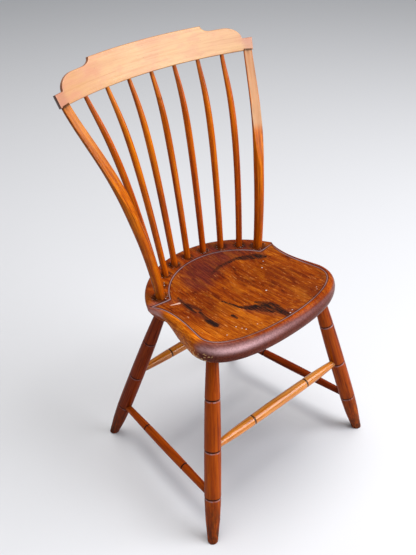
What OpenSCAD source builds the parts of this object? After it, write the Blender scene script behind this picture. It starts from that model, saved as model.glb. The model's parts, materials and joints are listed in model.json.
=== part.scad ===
// Side chair with a saddled plank seat, four raked turned legs joined by four
// stretchers, and a bent back of two posts, seven rods and a stepped crest.
// Millimetres. The floor is z = 0, the front faces -Y, and left and right are
// as seen from in front of the chair: -X is left.

/* [Seat] */
// Height of the seat's top above the floor
seat_h = 438; // [425:1:450]
// Thickness of the seat plank
seat_t = 42; // [38:1:46]
// Depth of the saddled hollow at its lowest
saddle_depth = 9; // [4:0.5:12]
// Radius of the seat's round back edge
seat_back_r = 193; // [190:1:198]
// Distance from the rods' arc centre to the seat's front edge
seat_front = 149; // [144:1:156]

/* [Legs] */
// Sideways distance of a front foot from the middle
front_foot_x = 233; // [222:1:240]
// Forward distance of a front foot from the rods' arc centre
front_foot_y = 154; // [145:1:165]
// Sideways distance of a rear foot from the middle
rear_foot_x = 193; // [182:1:205]
// Backward distance of a rear foot from the rods' arc centre
rear_foot_y = 236; // [225:1:245]
// Radius of a front leg at its thickest
front_leg_r = 17; // [15.5:0.1:17.5]
// Radius of a rear leg at its thickest
rear_leg_r = 16.2; // [15:0.1:17]
// Radius of a leg's tenon in the seat
leg_tenon_r = 9.5; // [8:0.1:10]

/* [Stretchers] */
// Height of the front stretcher where it meets the legs
front_stretcher_z = 203; // [200:1:215]
// Height of the rear stretcher where it meets the legs
rear_stretcher_z = 209; // [200:1:220]
// Height of the side stretchers where they meet the legs
side_stretcher_z = 99; // [90:1:108]
// Radius of the front and rear stretchers at their middle
cross_stretcher_r = 11.4; // [10:0.1:12]
// Radius of a side stretcher at its middle
side_stretcher_r = 9.6; // [9:0.1:10.5]
// Radius of a stretcher where it meets a leg
stretcher_end_r = 7.5; // [7:0.1:8]
// Radius of a stretcher's tenon
stretcher_tenon_r = 6.2; // [5:0.1:7]

/* [Back] */
// Radius of the arc on which rods and posts stand in the seat
rod_arc_r = 162; // [158:0.5:165]
// Angle between neighbouring rods about the arc's centre
rod_step = 14.5; // [13.5:0.25:14.75]
// Height of the crest's lower edge above the floor
crest_h = 823; // [790:1:850]
// Sideways distance of a post's top from the middle
post_top_x = 223; // [212:1:230]
// Backward distance of a post's top from the rods' arc centre
post_top_y = 205; // [195:1:215]
// Radius of a post where it is thickest
post_r = 11; // [10:0.1:12]
// Radius of a rod where it is thickest
rod_r = 6.9; // [6.2:0.1:7.2]

/* [Crest] */
// Thickness of the crest
crest_t = 9; // [8.5:0.25:12]
// How far the crest's middle lies behind the tops of the posts
crest_sag = 38; // [28:1:45]
// Backward tilt of the crest in degrees
crest_tilt = 23.5; // [20:0.5:26]
// Height of the crest's raised tablet
tablet_h = 62; // [56:1:70]
// Half width of the crest's raised tablet
tablet_x = 135; // [125:1:145]
// Height of the crest's shoulders
shoulder_h = 50; // [46:1:52]
// Height of the crest's square end blocks
end_block_h = 25; // [22:1:28]

/* [Hidden] */
$fn = 48;

left = -1;
right = 1;
// Centre of the rods' arc, set so that the whole chair is centred on the origin
arc_y = -53.4;
seat_bottom = seat_h - seat_t;

// ---- points and directions ----

function unit(v) = v / norm(v);
function flip_x(v) = [-v.x, v.y, v.z];
function round_back(r, angle, z) = [r * sin(angle), arc_y + r * cos(angle), z];
function bezier(p, t) =
    pow(1 - t, 3) * p[0] + 3 * t * pow(1 - t, 2) * p[1] + 3 * t * t * (1 - t) * p[2] + pow(t, 3) * p[3];
function bezier_dir(p, t) =
    unit(pow(1 - t, 2) * (p[1] - p[0]) + 2 * t * (1 - t) * (p[2] - p[1]) + t * t * (p[3] - p[2]));

// Puts children made along +Z at point p, pointing along d. The turn about their
// own axis keeps a round surface's seam off the line where a level cut starts.
seam_turn = 70;
module aim(p, d) {
    translate(p) rotate([0, acos(d.z / norm(d)), atan2(d.y, d.x)]) rotate([0, 0, seam_turn]) children();
}

// Cylinder from point a to point b
module rod_between(a, b, r) {
    aim(a, b - a) cylinder(h = norm(b - a), r = r);
}

// Closed skin over rings of points that run anticlockwise seen from the last ring
module skin(rings) {
    n = len(rings[0]);
    top = len(rings) - 1;
    sides = [for (i = [0 : top - 1], j = [0 : n - 1])
        let (a = i * n + j, b = i * n + (j + 1) % n)
        each [[a, a + n, b + n], [a, b + n, b]]];
    bottom_cap = [for (j = [0 : n - 1]) j];
    top_cap = [for (j = [n - 1 : -1 : 0]) top * n + j];
    polyhedron(points = [for (ring = rings) each ring], faces = concat(sides, [bottom_cap, top_cap]));
}

// ---- seat ----

// Half outlines of the seat, from the middle of the back round to the middle of
// the front. The edge is the seat's widest line, and the score is the line cut
// a little inside it, which also sets off the raised platform for the rods.
back_angle = 58;
notch_angle = 64;
score_r = 144;
score_angle = 62;
score_notch = [164, 64, 0];
edge_side = [[176, 80, 0], [158, 45, 0], [175, -5, 0], [185, -58, 0]];
edge_corner = [[185, -58, 0], [188, -93, 0], [167, -119, 0], [118, 14 - seat_front, 0]];
edge_front = [[118, 14 - seat_front, 0], [80, 3 - seat_front, 0],
              [40, -seat_front, 0], [0, -seat_front, 0]];
score_side = [score_notch, [144, 38, 0], [160, -20, 0], [167, -62, 0]];
score_corner = [[167, -62, 0], [170, -90, 0], [148, -108, 0], [110, 29 - seat_front, 0]];
score_front = [[110, 29 - seat_front, 0], [72, 18 - seat_front, 0],
               [36, 15 - seat_front, 0], [0, 15 - seat_front, 0]];

back_steps = 10;
notch_steps = 3;
side_steps = 8;
corner_steps = 6;
front_steps = 4;

function along_curve(p, steps) = [for (i = [0 : steps - 1]) bezier(p, i / steps)];
function round_xy(r, angle) = [r * sin(angle), r * cos(angle), 0];
function half_edge() = concat(
    [for (i = [0 : back_steps]) round_xy(seat_back_r, back_angle * i / back_steps)],
    [for (i = [1 : notch_steps])
        round_xy(seat_back_r, back_angle + (notch_angle - back_angle) * i / notch_steps)],
    along_curve(edge_side, side_steps),
    along_curve(edge_corner, corner_steps),
    along_curve(edge_front, front_steps),
    [edge_front[3]]);
function half_score() = concat(
    [for (i = [0 : back_steps]) round_xy(score_r, score_angle * i / back_steps)],
    [for (i = [1 : notch_steps])
        let (from = round_xy(score_r, score_angle))
        from + (score_notch - from) * i / (notch_steps + 1)],
    along_curve(score_side, side_steps),
    along_curve(score_corner, corner_steps),
    along_curve(score_front, front_steps),
    [score_front[3]]);
// A whole outline, anticlockwise seen from above
function whole(half) = concat(
    [for (i = [0 : len(half) - 1]) flip_x(half[i])],
    [for (i = [len(half) - 2 : -1 : 1]) half[i]]);
function shrunk(outline, k, z) = [for (p = outline) [k * p.x, arc_y + k * p.y, z]];

// The plank's edge is a deep round nose in front and thins to a bevelled underside
// at the back. Each pair is a distance in from the edge and a depth under the top,
// from the underside up to the score.
nose = [[11, seat_t], [4, seat_t - 4], [0.8, seat_t - 11], [0, 22], [1.5, 13], [5, 5.5], [9, 1.6]];
bevel = [[26, seat_t], [21, seat_t - 5], [10, 25], [2.5, 14], [0, 7], [1.2, 3], [4, 0.8]];
// Forward of nose_y the edge is all nose, and behind bevel_y it is all bevel
nose_y = -15;
bevel_y = 75;

function nose_share(y) =
    let (t = min(1, max(0, (bevel_y - y) / (bevel_y - nose_y)))) t * t * (3 - 2 * t);
function edge_ring(outline, i) =
    [for (p = outline)
        let (w = nose_share(p.y),
             pair = w * nose[i] + (1 - w) * bevel[i],
             q = p * (1 - pair[0] / norm(p)))
        [q.x, arc_y + q.y, seat_h - pair[1]]];

// Share of the way from the middle to the score, for each ring of the hollow
hollow_rings = [0.93, 0.82, 0.66, 0.46, 0.24];

function hollow_z(k) = seat_h - saddle_depth * pow(1 - k * k, 0.8);

rod_count = 7;
// Clearance of a tenon in its socket, all round and at its end
joint_gap = 0.1;
rod_socket_depth = 17;
post_socket_depth = 17;
leg_socket_depth = 20;

module seat() {
    edge = whole(half_edge());
    score = whole(half_score());
    color("saddlebrown") difference() {
        skin(concat(
            [for (i = [0 : len(nose) - 1]) edge_ring(edge, i)],
            [shrunk(score, 1, seat_h)],
            [for (k = hollow_rings) shrunk(score, k, hollow_z(k))]));
        for (side = [left, right]) {
            leg_socket(front_leg(side));
            leg_socket(rear_leg(side));
            post_socket(side);
        }
        for (i = [1 : rod_count]) rod_socket(i);
    }
}

module leg_socket(axis) {
    along = unit(axis[1] - axis[0]);
    floor_point = axis[1] + (leg_socket_depth + joint_gap) * along;
    rod_between(axis[1] - 12 * along, floor_point, leg_tenon_r + joint_gap);
}

module rod_socket(i) {
    path = rod_path(i);
    down = -bezier_dir(path, 0);
    floor_point = path[0] + (rod_socket_depth + joint_gap) * down;
    rod_between(path[0] - 8 * down, floor_point, rod_base_r + joint_gap);
}

module post_socket(side) {
    path = post_path(side);
    down = -bezier_dir(path, 0);
    floor_point = path[0] + (post_socket_depth + joint_gap) * down;
    rod_between(path[0] - 10 * down, floor_point, post_base_r + joint_gap);
}

// ---- legs ----

// A leg's axis runs from the middle of its foot to the seat's underside
front_leg_top = [148, -75];
rear_leg_top = [127, 97];
function front_leg(side) =
    [[side * front_foot_x, arc_y - front_foot_y, 0],
     [side * front_leg_top.x, arc_y + front_leg_top.y, seat_bottom]];
function rear_leg(side) =
    [[side * rear_foot_x, arc_y + rear_foot_y, 0],
     [side * rear_leg_top.x, arc_y + rear_leg_top.y, seat_bottom]];
function on_leg(axis, z) = axis[0] + (axis[1] - axis[0]) * z / seat_bottom;

// Heights of the rings scored round a leg
leg_rings = [99, 201, 306];
ring_depth = 1.3;
ring_half = 1.5;

// Three points of a leg or stretcher outline, for a ring scored round it
function scored(r, z) = [[r, z - ring_half], [r - ring_depth, z], [r, z + ring_half]];

// How far a leg is made below the floor before its foot is sawn off
below_floor = 40;

// Half section of a leg of thickest radius r, with a tenon that ends at top: radii
// and heights above the floor
function leg_outline(r, top) = concat(
    [[0, -below_floor / 2], [0.6 * r, -below_floor / 2], [0.67 * r, 9], [0.75 * r, 24], [0.88 * r, 50]],
    scored(0.99 * r, leg_rings[0]),
    [[r, 150]],
    scored(r, leg_rings[1]),
    scored(0.9 * r, leg_rings[2]),
    [[leg_tenon_r, seat_bottom - 9], [leg_tenon_r, top], [0, top]]);

module leg(axis, r, stretcher_ends) {
    length = norm(axis[1] - axis[0]);
    stretch = length / seat_bottom;
    outline = leg_outline(r, seat_bottom + leg_socket_depth / stretch);
    color("sienna") difference() {
        aim(axis[0], axis[1] - axis[0])
            rotate_extrude() polygon([for (p = outline) [p[0], p[1] * stretch]]);
        // The foot is sawn flat on the floor
        translate([axis[0].x, axis[0].y, -below_floor]) cube(2 * below_floor, center = true);
        for (e = stretcher_ends)
            let (way = unit(e[1] - e[0]))
            rod_between(e[0] + (tenon_reach - joint_gap) * way, e[0] + 2 * tenon_run * way,
                stretcher_tenon_r + joint_gap);
    }
}

// ---- stretchers ----

// Distance from a leg's axis at which a stretcher's tenon ends
tenon_reach = 2;
// Distance from a leg's axis over which a stretcher is as thin as its tenon
tenon_run = 21;

function front_stretcher() = [for (side = [left, right]) on_leg(front_leg(side), front_stretcher_z)];
function rear_stretcher() = [for (side = [left, right]) on_leg(rear_leg(side), rear_stretcher_z)];
function side_stretcher(side) =
    [on_leg(front_leg(side), side_stretcher_z), on_leg(rear_leg(side), side_stretcher_z)];
function swapped(pair) = [pair[1], pair[0]];

module stretcher(ends, r) {
    length = norm(ends[1] - ends[0]);
    ring_at = 0.29 * length;
    half = concat(
        [[0, tenon_reach], [stretcher_tenon_r, tenon_reach], [stretcher_tenon_r, tenon_run],
         [stretcher_end_r, tenon_run + 1], [0.88 * r, tenon_run + 45]],
        scored(0.95 * r, ring_at),
        [[r, 0.42 * length]]);
    other_half = [for (i = [len(half) - 1 : -1 : 0]) [half[i][0], length - half[i][1]]];
    color("peru") aim(ends[0], ends[1] - ends[0]) rotate_extrude() polygon(concat(half, other_half));
}

// ---- back ----

// The crest is a plank bent round a leaning cylinder. crest_up runs up the plank
// and crest_in runs from its ends to its middle. Its edges are arched along the
// plank so that they look level once it leans back.
crest_up = [0, sin(crest_tilt), cos(crest_tilt)];
crest_in = [0, cos(crest_tilt), -sin(crest_tilt)];
crest_bend = crest_sag * cos(crest_tilt);
crest_r = (post_top_x * post_top_x + crest_bend * crest_bend) / (2 * crest_bend);
crest_axis_in = -sqrt(crest_r * crest_r - post_top_x * post_top_x);
crest_axis = [0, arc_y + post_top_y, crest_h] + crest_axis_in * crest_in;
crest_end_x = 234;

function bend_at(x) = sqrt(crest_r * crest_r - x * x) + crest_axis_in;
function arch_at(x) = bend_at(x) * tan(crest_tilt);

// The lower edge is straight under each rod and turns a little between them
stick_gap = post_top_x / 4;
edge_turns = concat([-crest_end_x], [for (k = [-3.5 : 1 : 3.5]) k * stick_gap], [crest_end_x]);
lower_edge = [for (x = edge_turns) [x, arch_at(x)]];
function edge_height(x) = lookup(x, lower_edge);
function edge_slope(x) = edge_height(x + 1) - edge_height(x);

// Point on the crest's lower edge, in the middle of its thickness
function under_crest(x) =
    [x, arc_y + post_top_y, crest_h] + bend_at(x) * crest_in + edge_height(x) * crest_up;

rod_base_r = 6.8;
rod_top_r = 4.1;
rod_tenon_r = 2.6;
rod_tenon_length = 16;
post_base_r = 9.6;
post_tenon_r = 2.9;
post_tenon_length = 18;

// How a bent stick leaves the seat and how it enters the crest. Each is its share
// of the whole sideways spread, its lean as a share of height, and how far up its
// height the bend's handle reaches.
rod_low = [0.9, 0.133, 0.78];
rod_high = [1.22, tan(crest_tilt), 0.16];
post_low = [0.54, 0.06, 0.6];
post_high = [1.02, tan(crest_tilt), 0.21];

// A bent stick's route: its base in the seat's top, two handles and its top
function bent_path(base, top, low, high) =
    let (way = top - base)
    [base,
     base + low[2] * [low[0] * way.x, low[1] * way.z, way.z],
     top - high[2] * [high[0] * way.x, high[1] * way.z, way.z],
     top];
function rod_path(i) =
    let (k = i - (rod_count + 1) / 2)
    bent_path(round_back(rod_arc_r, rod_step * k, seat_h), under_crest(post_top_x * k / 4),
              rod_low, rod_high);
function post_path(side) =
    bent_path(round_back(rod_arc_r, side * rod_step * 4, seat_h), under_crest(side * post_top_x),
              post_low, post_high);

// Radius of a rod or post at share t of its height: base, thickest and top radii
function stick_r(base, thick, top, t) =
    t < 0.4 ? base + (thick - base) * sin(90 * t / 0.4) : thick + (top - thick) * pow((t - 0.4) / 0.6, 1.3);

// Ring round a route at share t, with its front cut flat at a distance from its
// middle. The ring moves forward by half of what is cut, so it stays centred.
function stick_ring(path, t, r, flat, front, n) =
    let (along = bezier_dir(path, t),
         across = unit(cross(-front, along)),
         forward = cross(across, along),
         centre = bezier(path, t) + max(0, r - flat) / 2 * forward)
    [for (j = [0 : n - 1])
        let (u = r * cos(360 * j / n), v = max(-flat, r * sin(360 * j / n)))
        centre + u * across - v * forward];
// The same ring slid along the route's end to just short of the crest's lower face
function on_crest(path, ring) =
    let (along = bezier_dir(path, 1),
         face = crest_up - [edge_slope(path[3].x), 0, 0])
    [for (p = ring) p + along * (((path[3] - p) * face) / (along * face) - joint_gap)];

// Share of a stick's route at which its bent skin starts, above its straight foot
first_ring = 0.003;
rod_sides = 12;
rod_rings = 14;
post_sides = 20;
post_rings = 18;

module spindle(i) {
    path = rod_path(i);
    start = bezier_dir(path, 0);
    end = bezier_dir(path, 1);
    rings = [for (j = [0 : rod_rings])
        let (t = first_ring + (1 - first_ring) * j / rod_rings,
             r = stick_r(rod_base_r, rod_r, rod_top_r, t),
             ring = stick_ring(path, t, r, 2 * r, [0, -1, 0], rod_sides))
        j == rod_rings ? on_crest(path, ring) : ring];
    color("chocolate") union() {
        skin(rings);
        rod_between(path[0] - rod_socket_depth * start, path[0] + 4 * start, rod_base_r);
        rod_between(path[3] - 4 * end, path[3] + rod_tenon_length * end, rod_tenon_r);
    }
}

// Direction that a post's shaved face looks: square to the crest's end
function post_front(side) = unit([-side * post_top_x, crest_axis_in, 0]);

post_top_r = 9;
shave_start = 0.3;
shave_length = 0.35;

// Distance from a post's middle to its shaved face, as a share of its radius
function shave(t) =
    let (done = min(1, max(0, (t - shave_start) / shave_length))) 1.01 - 0.85 * sin(90 * done);

module post(side) {
    path = post_path(side);
    start = bezier_dir(path, 0);
    end = bezier_dir(path, 1);
    rings = [for (j = [0 : post_rings])
        let (t = first_ring + (1 - first_ring) * j / post_rings,
             r = stick_r(post_base_r, post_r, post_top_r, t),
             ring = stick_ring(path, t, r, r * shave(t), post_front(side), post_sides))
        j == post_rings ? on_crest(path, ring) : ring];
    color("peru") difference() {
        union() {
            skin(rings);
            rod_between(path[0] - post_socket_depth * start, path[0] + 4 * start, post_base_r);
            rod_between(path[3] - 4 * end, path[3] + post_tenon_length * end, post_tenon_r);
        }
        pin_hole(side);
    }
}

// ---- crest ----

cove_h = tablet_h - shoulder_h;
cove_w = 20;
shoulder_x = 182;
notch_x = 217.5;
arc_steps = 8;

// Right half of the crest's outline above its lower edge, from the end block up
function crest_half() = concat(
    [[crest_end_x + 5, end_block_h], [notch_x, end_block_h]],
    [for (i = [1 : arc_steps])
        let (a = 90 * i / arc_steps)
        [shoulder_x + (notch_x - shoulder_x) * cos(a), end_block_h + (shoulder_h - end_block_h) * sin(a)]],
    [for (i = [0 : arc_steps])
        let (a = 90 * i / arc_steps)
        [tablet_x + cove_w * (1 - sin(a)), tablet_h - cove_h * cos(a)]],
    [for (k = [0.75, 0.5, 0.25]) [tablet_x * k, tablet_h]]);

function arched(p) = [p[0], p[1] + arch_at(p[0])];

module crest() {
    half = crest_half();
    other_half = [for (i = [len(half) - 1 : -1 : 0]) [-half[i][0], half[i][1]]];
    top_edge = concat(half, [[0, tablet_h]], other_half);
    room = 40;
    tall = tablet_h + 2 * room;
    color("burlywood") difference() {
        translate(crest_axis) rotate([-crest_tilt, 0, 0]) intersection() {
            translate([0, 0, -room]) difference() {
                cylinder(h = tall, r = crest_r + crest_t / 2, $fn = 200);
                translate([0, 0, -1]) cylinder(h = tall + 2, r = crest_r - crest_t / 2, $fn = 200);
            }
            translate([0, crest_r + room, 0]) rotate([90, 0, 0])
                linear_extrude(3 * room) polygon(concat(lower_edge, [for (p = top_edge) arched(p)]));
        }
        for (i = [1 : rod_count]) crest_socket(rod_path(i), rod_tenon_r, rod_tenon_length);
        for (side = [left, right]) {
            crest_socket(post_path(side), post_tenon_r, post_tenon_length);
            pin_hole(side);
        }
    }
}

module crest_socket(path, r, depth) {
    end = bezier_dir(path, 1);
    rod_between(path[3] - 6 * end, path[3] + (depth + joint_gap) * end, r + joint_gap);
}

// ---- pins through the post tenons, driven from the back of the crest ----

pin_r = 1.5;
// Height of a pin above the crest's lower edge, along the tenon
pin_height = 10;
// Wood left between a pin's blind end and the crest's front face
pin_wall = 2;

function pin_middle(side) =
    let (path = post_path(side)) path[3] + pin_height * bezier_dir(path, 1);
function pin_way(side) = unit([side * post_top_x, 0, 0] - crest_axis_in * crest_in);
function pin_head(side) = pin_middle(side) + crest_t / 2 * pin_way(side);

// The pin ends flush with the crest's back
module crest_pin(side) {
    color("tan") rod_between(pin_head(side) - (crest_t - pin_wall) * pin_way(side), pin_head(side), pin_r);
}

module pin_hole(side) {
    way = pin_way(side);
    rod_between(pin_head(side) - (crest_t - pin_wall + joint_gap) * way,
                pin_head(side) + crest_t * way, pin_r + joint_gap);
}

// ---- the chair ----

seat();

leg(front_leg(left), front_leg_r, [front_stretcher(), side_stretcher(left)]);  // leg_front_left
leg(front_leg(right), front_leg_r, [swapped(front_stretcher()), side_stretcher(right)]);  // leg_front_right
leg(rear_leg(left), rear_leg_r, [rear_stretcher(), swapped(side_stretcher(left))]);  // leg_rear_left
leg(rear_leg(right), rear_leg_r, [swapped(rear_stretcher()), swapped(side_stretcher(right))]);  // leg_rear_right

stretcher(front_stretcher(), cross_stretcher_r);  // stretcher_front
stretcher(rear_stretcher(), cross_stretcher_r);  // stretcher_rear
stretcher(side_stretcher(left), side_stretcher_r);  // stretcher_left
stretcher(side_stretcher(right), side_stretcher_r);  // stretcher_right

post(left);  // post_left
post(right);  // post_right

spindle(1);  // spindle_1
spindle(2);  // spindle_2
spindle(3);  // spindle_3
spindle(4);  // spindle_4
spindle(5);  // spindle_5
spindle(6);  // spindle_6
spindle(7);  // spindle_7

crest();
crest_pin(left);  // crest_pin_left
crest_pin(right);  // crest_pin_right
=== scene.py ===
"""Looks of the bent-back side chair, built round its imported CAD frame.

Metres, or mm where a comment says so. +Z is up, the chair's front faces -Y, and -X is on
the left of someone who looks at its front. Shapes follow the same rules as the CAD part,
with finer detail. Colours are linear.
"""

import json
import math
from types import SimpleNamespace

import bmesh
import bpy
import numpy as np
from mathutils import Matrix, Vector, noise


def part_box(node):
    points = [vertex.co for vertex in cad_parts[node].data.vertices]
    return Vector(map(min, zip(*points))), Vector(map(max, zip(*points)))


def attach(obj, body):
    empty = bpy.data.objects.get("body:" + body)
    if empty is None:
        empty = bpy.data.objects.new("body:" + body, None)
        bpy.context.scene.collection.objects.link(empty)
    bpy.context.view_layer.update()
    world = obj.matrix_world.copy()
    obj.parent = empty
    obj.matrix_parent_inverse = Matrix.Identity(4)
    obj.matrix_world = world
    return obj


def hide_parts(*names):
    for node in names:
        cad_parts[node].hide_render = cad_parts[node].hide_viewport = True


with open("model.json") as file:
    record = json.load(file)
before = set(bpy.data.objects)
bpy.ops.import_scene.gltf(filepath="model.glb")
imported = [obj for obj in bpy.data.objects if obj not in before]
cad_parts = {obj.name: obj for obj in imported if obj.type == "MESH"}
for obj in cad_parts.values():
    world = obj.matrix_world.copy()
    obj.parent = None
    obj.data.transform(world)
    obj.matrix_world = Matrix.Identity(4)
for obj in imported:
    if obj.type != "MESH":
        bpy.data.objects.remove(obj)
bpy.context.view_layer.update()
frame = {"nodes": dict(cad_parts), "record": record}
MM = 0.001

# ---- places, read from the frame ----

SEAT_LO, SEAT_HI = (np.array(corner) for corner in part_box("seat"))
SEAT_TOP, SEAT_BOTTOM = SEAT_HI[2], SEAT_LO[2]
BACK_R = 193                             # radius of the seat's round back edge, in mm
ARC_Y = SEAT_HI[1] - BACK_R * MM         # its centre, about which the rods stand in an arc
FEET = {m["name"].removeprefix("foot_"): np.array(m["pos_m"]) for m in frame["record"]["mounts"]}
# x, and y from the arc's centre, of the legs' axes at the seat's underside, in mm
LEG_TOPS = {
    "front_left": (-148, -75), "front_right": (148, -75),
    "rear_left": (-127, 97), "rear_right": (127, 97),
}
SIDES = {"left": -1, "right": 1}


def unit(v):
    v = np.asarray(v, float)
    return v / np.linalg.norm(v)


def lerp(a, b, t):
    return a + (b - a) * t


def smooth(edge0, edge1, x):
    t = np.clip((x - edge0) / (edge1 - edge0), 0, 1)
    return t * t * (3 - 2 * t)


# ---- mesh helpers ----

def make_piece(name, node, verts, faces, grain, masks, material):
    """A mesh piece with its grain coordinates and masks stored per vertex."""
    mesh = bpy.data.meshes.new(name)
    mesh.from_pydata([tuple(v) for v in verts], [], faces)
    mesh.update()
    dress(mesh, grain, masks)
    mesh.shade_smooth()
    return place(bpy.data.objects.new(name, mesh), node, material)


def dress(mesh, grain, masks):
    layer = mesh.attributes.new("grain", "FLOAT_VECTOR", "POINT")
    layer.data.foreach_set("vector", np.asarray(grain, np.float32).ravel())
    for key, values in masks.items():
        layer = mesh.attributes.new(key, "FLOAT", "POINT")
        layer.data.foreach_set("value", np.asarray(values, np.float32))


def place(piece, node, material):
    bpy.context.scene.collection.objects.link(piece)
    piece.data.materials.append(material)
    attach(piece, "root")
    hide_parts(node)
    return piece


def rings_to_faces(count, sides):
    """Quads between rings of points, and fans to the two points that follow the rings."""
    first_apex, last_apex = count * sides, count * sides + 1
    faces = []
    for i in range(count - 1):
        for j in range(sides):
            a, b = i * sides + j, i * sides + (j + 1) % sides
            faces.append((a, b, b + sides, a + sides))
    last = (count - 1) * sides
    for j in range(sides):
        k = (j + 1) % sides
        faces.append((k, j, first_apex))
        faces.append((last + j, last + k, last_apex))
    return faces


def grain_shift(node):
    """A different cut of the same wood for each part."""
    return 0.37 * (1 + sorted(frame["nodes"]).index(node))


def sweep(node, kind, material, stations, masks):
    """A closed skin over stations (centre, across, forward, outline, distance along).

    masks maps a mask's name to a function of the distance along and the angle round it.
    """
    shift = grain_shift(node)
    sides = len(stations[0][3])
    verts, grain = [], []
    values = {key: [] for key in masks}
    for centre, across, forward, outline, along in stations:
        for u, v in outline:
            verts.append(centre + u * across + v * forward)
            grain.append((u + shift, v - shift, along + 7 * shift))
            for key, mask in masks.items():
                values[key].append(mask(along, math.atan2(v, u)))
    for index in (0, len(stations) - 1):
        along = stations[index][4]
        verts.append(np.mean(verts[index * sides:(index + 1) * sides], axis=0))
        grain.append((shift, -shift, along + 7 * shift))
        for key, mask in masks.items():
            values[key].append(mask(along, 0.0))
    faces = rings_to_faces(len(stations), sides)
    return make_piece(node + "_" + kind, node, verts, faces, grain, values, material)


def circle(radius, sides):
    turns = [2 * math.pi * i / sides for i in range(sides)]
    return [(radius * math.cos(a), radius * math.sin(a)) for a in turns]


# ---- material helpers ----

class Nodes:
    """Short names for building one material's node tree."""

    def __init__(self, name):
        self.material = bpy.data.materials.new(name)
        self.material.use_nodes = True
        self.tree = self.material.node_tree
        self.tree.nodes.clear()
        self.out = self.tree.nodes.new("ShaderNodeOutputMaterial")
        self.shader = self.tree.nodes.new("ShaderNodeBsdfPrincipled")
        self.link(self.shader.outputs[0], self.out.inputs[0])

    def link(self, a, b):
        self.tree.links.new(a, b)

    def put(self, socket, value):
        if isinstance(value, bpy.types.NodeSocket):
            self.link(value, socket)
        else:
            socket.default_value = value

    def attribute(self, name):
        """A mask of the mesh, which is 0 where the mesh has none of that name."""
        node = self.tree.nodes.new("ShaderNodeAttribute")
        node.attribute_name = name
        return node.outputs["Fac"]

    def grain(self):
        node = self.tree.nodes.new("ShaderNodeAttribute")
        node.attribute_name = "grain"
        return node.outputs["Vector"]

    def position(self):
        return self.tree.nodes.new("ShaderNodeTexCoord").outputs["Object"]

    def scaled(self, vector, scale):
        node = self.tree.nodes.new("ShaderNodeMapping")
        self.put(node.inputs["Vector"], vector)
        node.inputs["Scale"].default_value = scale
        return node.outputs[0]

    def noise(self, vector, scale, detail=4.0, rough=0.55, distort=0.0):
        """Noise in cells of 1 / scale metres along each axis of the vector."""
        node = self.tree.nodes.new("ShaderNodeTexNoise")
        self.put(node.inputs["Vector"], self.scaled(vector, scale))
        node.inputs["Scale"].default_value = 1.0
        node.inputs["Detail"].default_value = detail
        node.inputs["Roughness"].default_value = rough
        node.inputs["Distortion"].default_value = distort
        return node.outputs["Fac"]

    def math(self, kind, a, b):
        node = self.tree.nodes.new("ShaderNodeMath")
        node.operation = kind
        self.put(node.inputs[0], a)
        self.put(node.inputs[1], b)
        return node.outputs[0]

    def plus(self, a, b):
        return self.math("ADD", a, b)

    def times(self, a, b):
        return self.math("MULTIPLY", a, b)

    def fit(self, value, low, high, to_low=0.0, to_high=1.0):
        """Maps the range from low to high smoothly onto the range from to_low to to_high."""
        node = self.tree.nodes.new("ShaderNodeMapRange")
        node.interpolation_type = "SMOOTHSTEP"
        for socket, v in zip(node.inputs, (value, low, high, to_low, to_high)):
            self.put(socket, v)
        return node.outputs[0]

    def mix(self, amount, a, b, kind="MIX"):
        node = self.tree.nodes.new("ShaderNodeMix")
        node.data_type = "RGBA"
        node.blend_type = kind
        self.put(node.inputs[0], amount)
        for socket, v in ((node.inputs[6], a), (node.inputs[7], b)):
            self.put(socket, (*v, 1.0) if isinstance(v, tuple) else v)
        return node.outputs[2]

    def ramp(self, value, stops):
        node = self.tree.nodes.new("ShaderNodeValToRGB")
        self.put(node.inputs[0], value)
        elements = node.color_ramp.elements
        while len(elements) < len(stops):
            elements.new(0.5)
        for element, (at, colour) in zip(elements, stops):
            element.position = at
            element.color = (*colour, 1.0)
        return node.outputs[0]

    def distance(self, a, point):
        node = self.tree.nodes.new("ShaderNodeVectorMath")
        node.operation = "DISTANCE"
        self.put(node.inputs[0], a)
        node.inputs[1].default_value = point
        return node.outputs["Value"]

    def bump(self, height, distance):
        node = self.tree.nodes.new("ShaderNodeBump")
        node.inputs["Distance"].default_value = distance
        self.put(node.inputs["Height"], height)
        return node.outputs[0]

    def varnish(self, colour, roughness, normal, coat, coat_roughness, gloss):
        self.put(self.shader.inputs["Base Color"], colour)
        self.put(self.shader.inputs["Roughness"], roughness)
        self.put(self.shader.inputs["Normal"], normal)
        self.put(self.shader.inputs["Coat Normal"], normal)
        self.shader.inputs["Coat Weight"].default_value = coat
        self.shader.inputs["Coat Roughness"].default_value = coat_roughness
        self.shader.inputs["IOR"].default_value = 1.45
        self.shader.inputs["Specular IOR Level"].default_value = gloss
        return self.material


# ---- wood of the turned and bent parts ----

FIBRE_BLACK = (0.02, 0.003, 0.0005)
RUDDY_TINT = (1.0, 0.60, 0.35)
PALE_SHEEN_WOOD = [(0.3, (0.42, 0.19, 0.08)), (0.55, (0.52, 0.28, 0.14)), (0.8, (0.58, 0.35, 0.20))]
GRIME_AND_SHADE = (0.035, 0.014, 0.005)
LIP_REFLECTION = (0.34, 0.22, 0.23)
RING_BLACK = (0.006, 0.002, 0.002)


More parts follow.
